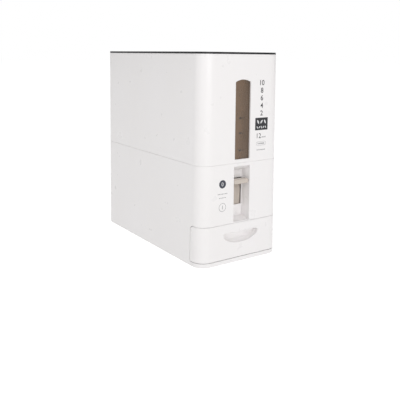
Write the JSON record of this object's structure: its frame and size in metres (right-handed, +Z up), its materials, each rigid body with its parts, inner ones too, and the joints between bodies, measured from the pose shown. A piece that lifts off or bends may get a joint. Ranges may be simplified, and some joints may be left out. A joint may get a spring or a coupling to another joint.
{
  "type": "rice dispenser with drawer",
  "caption": "Counter-top rice dispenser: a lidded tank with a window drops one measure into a drawer when the lever in the front recess is pressed.",
  "frame": {"origin": "on the floor, under the middle of the body", "axes": "+Z up; the front, with the window, lever and drawer, faces -Y; +X is to the right of someone facing the front"},
  "size_m": [0.225, 0.455, 0.455],
  "materials": {
    "white_shell": "satin white",
    "white_inner": "matte white",
    "smoked_lid": "glossy smoked black",
    "smoked_window": "smoked brown clear",
    "greige_lever": "satin greige",
    "soft_seal": "soft grey silicone",
    "foot_rubber": "dark rubber",
    "steel": "plain steel",
    "bush_plastic": "natural bearing plastic"
  },
  "bodies": {
    "base": {"lower_housing": "white_shell", "base_plate": "white_inner", "base_screws": "steel", "bay_deck": "white_inner", "measuring_casing": "white_inner", "bracket_screws": "steel", "return_spring": "steel", "shaft_bracket_left": "white_inner", "shaft_bracket_right": "white_inner", "shaft_bush_left": "bush_plastic", "shaft_bush_right": "bush_plastic", "foot_front_left": "foot_rubber", "foot_front_right": "foot_rubber", "foot_rear_left": "foot_rubber", "foot_rear_right": "foot_rubber"},
    "lever": {"lever_yoke": "greige_lever", "lever_knob": "greige_lever", "measuring_rotor": "white_inner", "rotor_end_cap": "white_inner", "rotor_shaft": "steel"},
    "drawer": {"drawer_front": "white_shell", "drawer_box": "white_shell", "drawer_screws": "steel"},
    "tank": {"upper_housing": "white_shell", "window_pane": "smoked_window", "hopper": "white_inner", "hinge_pin_left": "steel", "hinge_pin_right": "steel"},
    "lid": {"lid_frame": "white_shell", "lid_panel": "smoked_lid", "lid_gasket": "soft_seal"}
  },
  "joints": [
    {"name": "tank_lift", "type": "slide", "parent": "base", "child": "tank", "axis": [0, 0, 1], "range_m": [0, 0.1]},
    {"name": "lid_hinge", "type": "hinge", "parent": "tank", "child": "lid", "pos_m": [0, 0.21229, 0.4405], "axis": [-1, 0, 0], "range_deg": [0, 100]},
    {"name": "drawer_slide", "type": "slide", "parent": "base", "child": "drawer", "axis": [0, -1, 0], "range_m": [0, 0.19]},
    {"name": "lever_press", "type": "hinge", "parent": "base", "child": "lever", "pos_m": [0, -0.14479, 0.1569], "axis": [1, 0, 0], "range_deg": [0, 39], "stiffness_Nm_per_rad": 0.8, "springref_deg": -20.05}
  ]
}
